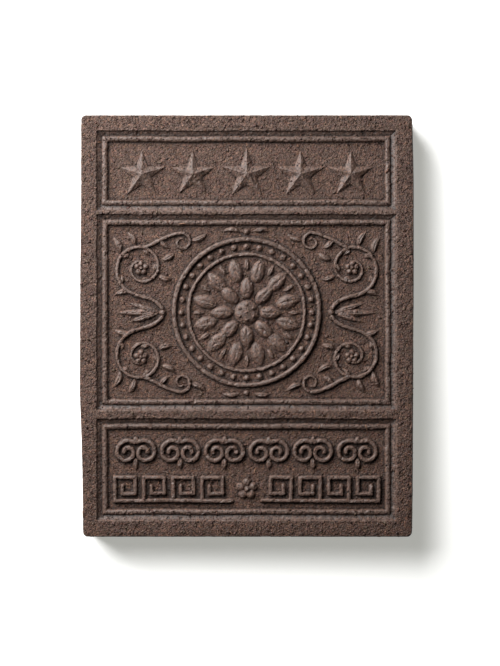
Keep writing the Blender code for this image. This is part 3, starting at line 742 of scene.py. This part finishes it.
def brick_arrays(sizes):
    """Points, outward directions as long as each place is rough, and triangles of the
    closed brick: the moulded face, rings down the side and the flat base."""
    edge = sizes.edge_round
    plan = WIDTH / 2 - edge, LENGTH / 2 - edge, sizes.corner_round - edge
    nx, ny = TOP_CELLS
    x, y = grid_points(nx, ny, *plan)
    height, proud = relief(x, y, sizes)
    points = [np.column_stack([x, y, THICKNESS + height])]
    normals = [np.tile([0.0, 0.0, 1.0], (len(x), 1))]
    pits = coarseness(height, proud, sizes.panel_depth)
    triangles = [grid_triangles(nx, ny)]
    start, above = len(x), grid_ring(nx, ny)
    rim = np.column_stack([x, y])[above]
    rim_out = level_outward(*rim.T, *plan)
    for levels, thinner in zip(side_levels(edge, sizes.edge_drop), (1, 2, 4)):
        ring_xy, out = rim[::thinner], rim_out[::thinner]
        count = len(out)
        for offset, height, tilt in levels:
            points.append(np.column_stack([ring_xy + offset * out, np.full(count, height)]))
            steep = np.full(count, math.cos(tilt))
            normals.append(np.column_stack([out * math.sin(tilt), steep]))
            below = start + np.arange(count)
            triangles.append(strip_triangles(above, below))
            start, above = start + count, below
    nx, ny = nx // thinner, ny // thinner
    x, y = grid_points(nx, ny, *plan)
    points.append(np.column_stack([x, y, np.zeros_like(x)]))
    normals.append(np.tile([0.0, 0.0, -1.0], (len(x), 1)))
    triangles.append(strip_triangles(above, start + grid_ring(nx, ny)))
    triangles.append(start + grid_triangles(nx, ny)[:, ::-1])
    points, normals = np.vstack(points), np.vstack(normals)
    wall = smoothstep(THICKNESS - WALL_FROM, THICKNESS - WALL_TO, points[len(pits):, 2])
    pits = np.append(pits, EDGE_PITS + WALL_PITS * wall)
    return points, normals * pits[:, None], np.vstack(triangles)


def mesh_from_arrays(name, points, triangles):
    mesh = bpy.data.meshes.new(name)
    mesh.vertices.add(len(points))
    mesh.vertices.foreach_set("co", points.astype(np.float32).ravel())
    mesh.loops.add(3 * len(triangles))
    mesh.loops.foreach_set("vertex_index", triangles.astype(np.int32).ravel())
    mesh.polygons.add(len(triangles))
    mesh.polygons.foreach_set("loop_start", 3 * np.arange(len(triangles), dtype=np.int32))
    mesh.update(calc_edges=True)
    mesh.validate()
    return mesh


def add_object(name, mesh):
    obj = bpy.data.objects.new(name, mesh)
    bpy.context.scene.collection.objects.link(obj)
    return obj


def read_points(mesh):
    points = np.empty(3 * len(mesh.vertices), np.float32)
    mesh.vertices.foreach_get("co", points)
    return points.reshape(-1, 3).astype(float)


def set_values(mesh, name, values):
    attribute = mesh.attributes.new(name, "FLOAT", "POINT")
    attribute.data.foreach_set("value", values.astype(np.float32))


def thinned(obj, target):
    """Collapses edges until about the target count of triangles is left."""
    thin = obj.modifiers.new("thin", "DECIMATE")
    thin.ratio = min(1.0, target / len(obj.data.polygons))
    graph = bpy.context.evaluated_depsgraph_get()
    mesh = bpy.data.meshes.new_from_object(obj.evaluated_get(graph))
    obj.modifiers.clear()
    obj.data = mesh
    return mesh


FaceSizes = namedtuple("FaceSizes", "panel_depth bead_height star_height seed")


def blurred(field, cells):
    """Mean over a square of 2 cells + 1 a side, run twice."""
    span = 2 * cells + 1
    for axis in (0, 1, 0, 1):
        edges = [(0, 0), (0, 0)]
        edges[axis] = (cells + 1, cells)
        total = np.cumsum(np.pad(field, edges, "edge"), axis=axis)
        low = np.arange(field.shape[axis])
        field = (np.take(total, low + span, axis) - np.take(total, low, axis)) / span
    return field


@functools.lru_cache(maxsize=1)
def face_maps(sizes):
    """The moulded face on an even grid: its height, how smooth it is rubbed, and how far
    each place stands over its surroundings."""
    xs = np.arange(-WIDTH / 2, WIDTH / 2 + MAP_CELL, MAP_CELL)
    ys = np.arange(-LENGTH / 2, LENGTH / 2 + MAP_CELL, MAP_CELL)
    x, y = np.meshgrid(xs, ys)
    height, proud = (part.reshape(x.shape) for part in relief(x.ravel(), y.ravel(), sizes))
    return height, proud, height - blurred(height, HOLLOW_CELLS)


def maps_of(sizes):
    return face_maps(FaceSizes(*(getattr(sizes, name) for name in FaceSizes._fields)))


def sampled(field, x, y):
    """Value of an even grid at any places, mixed from its four nearest points."""
    rows, columns = field.shape
    u = np.clip((x + WIDTH / 2) / MAP_CELL, 0, columns - 1.001)
    v = np.clip((y + LENGTH / 2) / MAP_CELL, 0, rows - 1.001)
    i, j = u.astype(int), v.astype(int)
    s, t = u - i, v - j
    low = field[j, i] * (1 - s) + field[j, i + 1] * s
    high = field[j + 1, i] * (1 - s) + field[j + 1, i + 1] * s
    return low * (1 - t) + high * t


def press_brick(sizes):
    """The brick with its relief and its pits, thinned, and with its maps as attributes."""
    points, outward, triangles = brick_arrays(sizes)
    points -= outward * crumb_depth(points, sizes)[:, None]
    points = np.clip(outline_shift(points), LOW, HIGH)
    brick = add_object("pressed_brick", mesh_from_arrays("pressed_brick", points, triangles))
    mesh = thinned(brick, BODY_TRIANGLES)
    kept = np.clip(read_points(mesh), LOW, HIGH)
    mesh.vertices.foreach_set("co", kept.astype(np.float32).ravel())
    x, y, z = kept.T
    height, proud, stand = (sampled(field, x, y) for field in maps_of(sizes))
    face = smoothstep(THICKNESS - FACE_TO, THICKNESS - FACE_FROM, z)
    set_values(mesh, "stand", 0.5 + 0.5 * np.clip(stand / STAND_SPAN, -1.0, 1.0) * face)
    set_values(mesh, "proud", proud * face)
    set_values(mesh, "height", 1 + np.maximum(height / sizes.panel_depth, -1.0) * face)
    mesh.shade_smooth()
    mesh.set_sharp_from_angle(angle=CREASE)
    return brick


# --- Leaf bits -----------------------------------------------------------------------


def bit_arrays(places, normals, draw, bits):
    """Small flat lozenges: a rim of BIT_SIDES points and a raised middle above and below,
    each turned to its surface and sunk by a part of its thickness."""
    count = len(places)
    length = np.minimum(bits.length * draw.lognormal(0.0, BIT_SPREAD, count), bits.longest)
    width = length * draw.uniform(*bits.width, count)
    thick = np.minimum(width * draw.uniform(*bits.thickness, count), THICKEST_BIT)
    heading = draw.uniform(0.0, 2 * math.pi, count)
    flat = np.zeros(count)
    level = np.column_stack([np.cos(heading), np.sin(heading), flat])
    upright = np.column_stack([flat, np.cos(heading), np.sin(heading)])
    along = np.cross(normals, np.where(np.abs(normals[:, 2:]) < 0.5, upright, level))
    along /= np.linalg.norm(along, axis=1, keepdims=True)
    across = np.cross(along, normals)
    turn = 2 * math.pi * np.arange(BIT_SIDES) / BIT_SIDES
    reach = draw.uniform(*BIT_REACH, (count, BIT_SIDES)) / 2
    tilt = draw.normal(0.0, BIT_TILT, (count, 2)) * (thick / length)[:, None]
    ahead = reach * np.cos(turn) * length[:, None]
    beside = reach * np.sin(turn) * width[:, None]
    lift = ahead * tilt[:, :1] + beside * tilt[:, 1:]
    rim = (
        ahead[:, :, None] * along[:, None]
        + beside[:, :, None] * across[:, None]
        + lift[:, :, None] * normals[:, None]
    )
    off = draw.uniform(-BIT_PEAK, BIT_PEAK, (count, 1)) * length[:, None] * along
    top = off + (thick * bits.proud)[:, None] * normals
    base = off - (thick * (1 - bits.proud))[:, None] * normals
    shape = np.concatenate([rim, top[:, None], base[:, None]], axis=1)
    points = (places[:, None] + shape).reshape(-1, 3)
    k = np.arange(BIT_SIDES)
    after = (k + 1) % BIT_SIDES
    upper = np.column_stack([after, k, np.full(BIT_SIDES, BIT_SIDES)])
    lower = np.column_stack([k, after, np.full(BIT_SIDES, BIT_SIDES + 1)])
    fan = np.concatenate([upper, lower])
    starts = (BIT_SIDES + 2) * np.arange(count)
    triangles = (fan[None] + starts[:, None, None]).reshape(-1, 3)
    return points, triangles


def random_places(count, draw, margin):
    """Even draws of x and y, a margin away from the brick's sides."""
    return (draw.uniform(margin - side / 2, side / 2 - margin, count) for side in (WIDTH, LENGTH))


def face_places(count, draw, sizes):
    """Random places on the moulded face with the surface's direction there, fewer on the
    rubbed ornament."""
    height, proud, _ = maps_of(sizes)
    x, y = random_places(count, draw, FACE_MARGIN)
    kept = draw.random(count) > RUBBED_OFF * sampled(proud, x, y)
    x, y = x[kept], y[kept]
    z = sampled(height, x, y)
    slope_x = (sampled(height, x + MAP_CELL, y) - z) / MAP_CELL
    slope_y = (sampled(height, x, y + MAP_CELL) - z) / MAP_CELL
    normals = np.column_stack([-slope_x, -slope_y, np.ones_like(x)])
    normals /= np.linalg.norm(normals, axis=1, keepdims=True)
    return np.column_stack([x, y, THICKNESS + z]), normals


def side_places(count, draw, sizes):
    """Random places round the wall."""
    long_side = draw.random(count) < LENGTH / (LENGTH + WIDTH)
    sign = np.where(draw.random(count) < 0.5, -1.0, 1.0)
    along = draw.uniform(-1.0, 1.0, count)
    corner = sizes.corner_round
    x = np.where(long_side, sign * WIDTH / 2, along * (WIDTH / 2 - corner))
    y = np.where(long_side, along * (LENGTH / 2 - corner), sign * LENGTH / 2)
    z = draw.uniform(sizes.edge_round, THICKNESS - sizes.edge_round, count)
    out_x, out_y = np.where(long_side, sign, 0.0), np.where(long_side, 0.0, sign)
    return np.column_stack([x, y, z]), np.column_stack([out_x, out_y, np.zeros(count)])


def base_places(count, draw):
    """Random places on the underside."""
    x, y = random_places(count, draw, BASE_MARGIN)
    return np.column_stack([x, y, np.zeros(count)]), np.tile([0.0, 0.0, -1.0], (count, 1))


def scatter_bits(name, sizes, bits, seed):
    """One kind of bits on every side of the brick, as one mesh, with a tint for each."""
    draw = np.random.default_rng(seed)
    spots = [
        face_places(bits.top, draw, sizes),
        side_places(bits.sides, draw, sizes),
        base_places(bits.base, draw),
    ]
    places, normals = (np.vstack(part) for part in zip(*spots))
    places -= normals * (BIT_SINK * crumb_depth(places, sizes))[:, None]
    points, triangles = bit_arrays(places, normals, draw, bits)
    points = np.clip(outline_shift(points), LOW, HIGH)
    obj = add_object(name, mesh_from_arrays(name, points, triangles))
    set_values(obj.data, "tint", np.repeat(draw.random(len(places)), BIT_SIDES + 2))
    return obj


# --- Materials -----------------------------------------------------------------------


class Socket:
    """A shader socket that Python's operators join to Math nodes."""

    def __init__(self, shader, socket):
        self.shader, self.socket = shader, socket

    def __add__(self, other):
        return self.shader.math("ADD", self, other)

    def __sub__(self, other):
        return self.shader.math("SUBTRACT", self, other)

    def __rsub__(self, other):
        return self.shader.math("SUBTRACT", other, self)

    def __mul__(self, other):
        return self.shader.math("MULTIPLY", self, other)

    __radd__, __rmul__ = __add__, __mul__

    def outputs(self):
        """Every output of this socket's node."""
        return [Socket(self.shader, output) for output in self.socket.node.outputs]


class Shader:
    """A material's nodes. add() makes any node from its type, its settings, which are set
    first, and the values or links of its sockets by name or number."""

    def __init__(self, name):
        self.material = bpy.data.materials.new(name)
        self.material.use_nodes = True
        self.tree = self.material.node_tree
        self.surface = self.tree.nodes["Principled BSDF"]

    def feed(self, node, values):
        for key, value in values.items():
            if isinstance(value, Socket):
                self.tree.links.new(value.socket, node.inputs[key])
            else:
                node.inputs[key].default_value = value

    def add(self, kind, settings=None, values=None, output=0):
        node = self.tree.nodes.new(kind)
        for key, value in (settings or {}).items():
            if key == "stops":
                self.set_stops(node.color_ramp, value)
            else:
                setattr(node, key, value)
        self.feed(node, values or {})
        return Socket(self, node.outputs[output])

    @staticmethod
    def set_stops(ramp, stops):
        while len(ramp.elements) < len(stops):
            ramp.elements.new(1.0)
        for element, (place, colour) in zip(ramp.elements, stops):
            element.position = place
            element.color = (*colour, 1.0)

    def math(self, operation, *numbers):
        return self.add("ShaderNodeMath", {"operation": operation}, dict(enumerate(numbers)))

    def clamped(self, low, high, value):
        """0 at low and beyond, 1 at high and beyond, a smooth step between."""
        return self.add(
            "ShaderNodeMapRange",
            {"interpolation_type": "SMOOTHSTEP"},
            {"Value": value, "From Min": low, "From Max": high},
        )

    def mix(self, factor, first, second, blend="MIX"):
        colours = [c if isinstance(c, Socket) else (*c, 1.0) for c in (first, second)]
        return self.add(
            "ShaderNodeMix",
            {"data_type": "RGBA", "blend_type": blend},
            {0: factor, 6: colours[0], 7: colours[1]},
            output=2,
        )

    def place(self):
        return self.add("ShaderNodeTexCoord", output=3)

    def attribute(self, name):
        return self.add("ShaderNodeAttribute", {"attribute_name": name}, output=2)

    def noise(self, where, size, detail=2.0, roughness=0.5, output=0):
        values = {"Vector": where, "Scale": 1 / size, "Detail": detail, "Roughness": roughness}
        return self.add("ShaderNodeTexNoise", None, values, output)

    def ramp(self, stops, colours, share):
        """A ramp through the named colours."""
        named = [(place, getattr(colours, name)) for place, name in stops]
        return self.add("ShaderNodeValToRGB", {"stops": named}, {0: share})

    def crumbs(self, where, size):
        """Distance to the nearest crumb's middle, and two random numbers of that crumb."""
        values = {"Vector": where, "Scale": 1 / size}
        apart, colour, *_ = self.add("ShaderNodeTexVoronoi", None, values).outputs()
        first, second, _ = self.add("ShaderNodeSeparateColor", None, {0: colour}).outputs()
        return apart, first, second

    def bump(self, height, depth, strength=1.0):
        values = {"Strength": strength, "Distance": depth, "Height": height}
        return self.add("ShaderNodeBump", None, values)

    def finish(self, obj, **values):
        self.feed(self.surface, {key.replace("_", " "): value for key, value in values.items()})
        obj.data.materials.clear()
        obj.data.materials.append(self.material)


def warped_place(shader, size, amount):
    """Object coordinates stirred by a noise, so that cells lose their straight edges."""
    place = shader.place()
    stir = {0: shader.noise(place, size, output=1), 1: (0.5, 0.5, 0.5)}
    centred = shader.add("ShaderNodeVectorMath", {"operation": "SUBTRACT"}, stir)
    moved = {0: centred, 1: (amount, amount, amount), 2: place}
    return shader.add("ShaderNodeVectorMath", {"operation": "MULTIPLY_ADD"}, moved)


def pressed_tea(obj, colours):
    """Pressed leaf: brown, greyer in patches and, as painted sheen, towards the upper left,
    with crumbs of two sizes each in its own tint, dark gaps between them, a few clusters of
    paler flecks, painted shade in the hollows and on the walls, most of all the right one,
    edges and frames mixed paler as partly rubbed dust and partly painted highlight, and a
    faint sheen where the mould has rubbed the raised parts."""
    shader = Shader("pressed_tea")
    clamped, mix = shader.clamped, shader.mix
    dark, dust = colours.dark, colours.dust
    polish_and_highlight = np.array(dust) * 0.85 + np.array(colours.gold) * 0.15
    place = warped_place(shader, *STIR)
    height, stand, proud = (shader.attribute(name) for name in ("height", "stand", "proud"))
    crumb, crumb_tint, crumb_shade = shader.crumbs(place, CRUMB_SIZE)
    grit, grit_tint, grit_shade = shader.crumbs(place, GRIT_SIZE)
    fine = shader.noise(place, FINE_SIZE, 3.0, 0.6)
    patch = shader.noise(shader.place(), PATCH_SIZE, 4.0, 0.65)
    cluster = shader.noise(shader.place(), CLUSTER_SIZE, 3.0, 0.6)
    speck = shader.noise(place, SPECK_SIZE, 2.0, 0.6)
    right, ahead, up = shader.add("ShaderNodeSeparateXYZ", None, {0: shader.place()}).outputs()

    # Painted sheen: the colour greys towards the upper left, where the key light's sheen is
    # strongest; the patches and the greyer rim are the leaf's own tone.
    painted_sheen_slant = ahead * 1.6 - right * 0.4
    greying_and_painted_sheen = clamped(0.40, 0.72, patch * 0.7 + height * 0.22 + speck * 0.15 + painted_sheen_slant)
    base = mix(greying_and_painted_sheen, colours.leaf, dust)
    base = mix(0.4, base, shader.ramp(CRUMB_TINTS, colours, crumb_tint))
    base = mix(0.32, base, shader.ramp(GRIT_TINTS, colours, grit_tint))
    shade = (0.75 + crumb_shade * 0.7) * (0.65 + grit_shade * 1.05)
    base = mix(1.0, base, shade, "MULTIPLY")
    flecks = clamped(0.86, 0.91, grit_shade) * clamped(0.53, 0.62, cluster)
    base = mix(flecks * 0.42, base, mix(crumb_shade, colours.russet, colours.gold))

    gaps = clamped(0.42, 0.7, crumb) * 0.4 + clamped(0.42, 0.75, grit) * 0.3
    gaps = gaps + (1 - clamped(0.3, 0.5, fine)) * 0.4
    base = mix(gaps * (0.8 - proud * 0.25), base, dark)
    # Convex places and the frames are mixed paler: partly rubbed dust, partly a painted highlight
    # standing in for the lit lips and the sheen on the frames.
    rubbed = clamped(0.52, 0.85, stand)
    framed = clamped(0.0, FRAME_RUB, proud) - clamped(0.4, 0.6, proud)
    base = mix(rubbed * 0.34 + framed * 0.15, base, polish_and_highlight)
    # Painted shade: hollows are darkened towards the dark colour, where shade falls.
    base = mix(clamped(0.41, 0.17, stand) * 0.92, base, dark)

    # Painted shade: the walls are darkened from just under the rim down, and the right wall, away
    # from the key light, more near its top.
    wall = clamped(*(THICKNESS - depth for depth in WALL_SHADE), up) * clamped(0.5, 0.7, height)
    right_wall_shade = clamped(*(WIDTH / 2 - inset for inset in RIGHT_SHADE_INSET), right)
    right_wall_shade = right_wall_shade * clamped(*(THICKNESS - depth for depth in RIGHT_SHADE_DEPTH), up)
    base = mix(wall * (right_wall_shade * 0.7 + 0.2), base, dark)

    grain = (1 - crumb) * 0.55 + (1 - grit) * 0.5 + fine + speck * 0.25
    coat = framed * 0.12 + clamped(0.0, FRAME_RUB, proud) * 0.27
    shader.finish(
        obj,
        Base_Color=base,
        Roughness=0.62 - proud * 0.08 + (fine - 0.5) * 0.2 + wall * 0.25,
        Normal=shader.bump(grain * (1 - proud * 0.12), CRUMB_BUMP),
        Specular_IOR_Level=0.31,
        Coat_Weight=coat + clamped(0.8, 1.0, proud) * 0.07 + rubbed * 0.15,
        Coat_Roughness=0.52,
    )


def leaf_bits(obj, name, tints, colours):
    """Loose crumbs and stalks, one tint to each, darker in their finest hollows."""
    shader = Shader(name)
    fine = shader.noise(shader.place(), BIT_GRAIN, 3.0, 0.6)
    tint = shader.ramp(tints, colours, shader.attribute("tint"))
    shaded = shader.mix(shader.clamped(0.6, 0.35, fine) * 0.5, tint, colours.dark)
    bump = shader.bump(fine, BIT_BUMP, 0.6)
    shader.finish(obj, Base_Color=shaded, Roughness=0.6, Normal=bump, Specular_IOR_Level=0.34)


def white_table(obj, colours):
    """Matt white that also gives light by itself, so that it is nearly white all over."""
    Shader("white_table").finish(
        obj, Base_Color=(*colours.floor, 1.0), Roughness=0.8,
        Emission_Color=(*colours.glow, 1.0), Emission_Strength=1.0,
    )


# --- Operators -----------------------------------------------------------------------


class TEABRICK_OT_press(bpy.types.Operator):
    """Presses the brick: its moulded face, sides and underside as one closed mesh"""

    bl_idname = "teabrick.press"
    bl_label = "Press the brick"

    def execute(self, context):
        brick = press_brick(context.scene.tea_brick_sizes)
        pressed_tea(brick, context.scene.tea_brick_colours)
        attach(brick, BODY)
        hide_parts(BRICK)
        return {"FINISHED"}


class TEABRICK_OT_scatter(bpy.types.Operator):
    """Sets crumbs and stalks of leaf into every side of the brick"""

    bl_idname = "teabrick.scatter"
    bl_label = "Scatter the leaf bits"

    def execute(self, context):
        sizes, colours = context.scene.tea_brick_sizes, context.scene.tea_brick_colours
        for name, bits, tints in BIT_KINDS:
            obj = scatter_bits(name, sizes, bits, sizes.seed + 10 + len(name) + bits.top)
            leaf_bits(obj, name, tints, colours)
            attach(obj, BODY)
        return {"FINISHED"}


class TEABRICK_OT_stage(bpy.types.Operator):
    """Lays the white table and sets the lights and the camera"""

    bl_idname = "teabrick.stage"
    bl_label = "Set the stage"

    def execute(self, context):
        scene, studio = context.scene, context.scene.tea_brick_studio
        self.lay_table(scene)
        self.light_key(scene, studio)
        self.fill_round(scene, studio)
        self.place_camera(scene)
        scene.view_settings.view_transform = "Standard"
        return {"FINISHED"}

    @staticmethod
    def lay_table(scene):
        x, y = grid_points(2, 2, TABLE_HALF_SIDE, TABLE_HALF_SIDE, 0.0)
        points = np.column_stack([x, y, np.full_like(x, TABLE_TOP)])
        floor = add_object("table_top", mesh_from_arrays("table_top", points, grid_triangles(2, 2)))
        white_table(floor, scene.tea_brick_colours)

    @staticmethod
    def light_key(scene, studio):
        """A square soft box that looks at the brick from the upper left."""
        data = bpy.data.lights.new("key", "AREA")
        data.shape, data.size, data.energy = "SQUARE", studio.key_size, studio.key_power
        key = bpy.data.objects.new("key", data)
        scene.collection.objects.link(key)
        rise, turn = studio.key_elevation, studio.key_azimuth
        flat = math.cos(rise)
        heading = np.array([flat * math.cos(turn), flat * math.sin(turn), math.sin(rise)])
        key.location = heading * studio.key_distance + (0.0, 0.0, THICKNESS)
        key.rotation_euler = (math.pi / 2 - rise, 0.0, turn + math.pi / 2)

    @staticmethod
    def fill_round(scene, studio):
        world = bpy.data.worlds.new("white_studio")
        world.use_nodes = True
        background = world.node_tree.nodes["Background"]
        background.inputs["Color"].default_value = (1.0, 1.0, 1.0, 1.0)
        background.inputs["Strength"].default_value = studio.fill
        scene.world = world

    @staticmethod
    def place_camera(scene):
        """Straight above, at the height where one pixel covers PIXEL of the upper face."""
        data = bpy.data.cameras.new("camera")
        data.lens, data.sensor_width = LENS, SENSOR
        camera = bpy.data.objects.new("camera", data)
        away = PHOTO_LONG_SIDE * PIXEL * LENS / SENSOR
        camera.location = (AIM[0], AIM[1], THICKNESS + away)
        scene.collection.objects.link(camera)
        scene.camera = camera


class TEABRICK_PT_panel(bpy.types.Panel):
    """Sizes, colours and steps of the tea brick"""

    bl_idname = "TEABRICK_PT_panel"
    bl_label = "Tea Brick"
    bl_space_type = "VIEW_3D"
    bl_region_type = "UI"
    bl_category = "Tea Brick"

    def draw(self, context):
        layout = self.layout
        for step in STEPS:
            layout.operator(step.bl_idname)
        for group_name, group in GROUPS.items():
            box = layout.box()
            for name in group.__annotations__:
                box.prop(getattr(context.scene, group_name), name)


STEPS = (TEABRICK_OT_press, TEABRICK_OT_scatter, TEABRICK_OT_stage)
GROUPS = {
    "tea_brick_sizes": TeaBrickSizes,
    "tea_brick_colours": TeaBrickColours,
    "tea_brick_studio": TeaBrickStudio,
}


def register():
    for cls in (*GROUPS.values(), *STEPS, TEABRICK_PT_panel):
        bpy.utils.register_class(cls)
    for name, cls in GROUPS.items():
        setattr(bpy.types.Scene, name, bpy.props.PointerProperty(type=cls))


def unregister():
    for name in GROUPS:
        delattr(bpy.types.Scene, name)
    for cls in (TEABRICK_PT_panel, *reversed(STEPS), *reversed(tuple(GROUPS.values()))):
        bpy.utils.unregister_class(cls)


def main():
    register()
    bpy.ops.teabrick.press()
    bpy.ops.teabrick.scatter()
    bpy.ops.teabrick.stage()


if __name__ == "__main__":
    main()
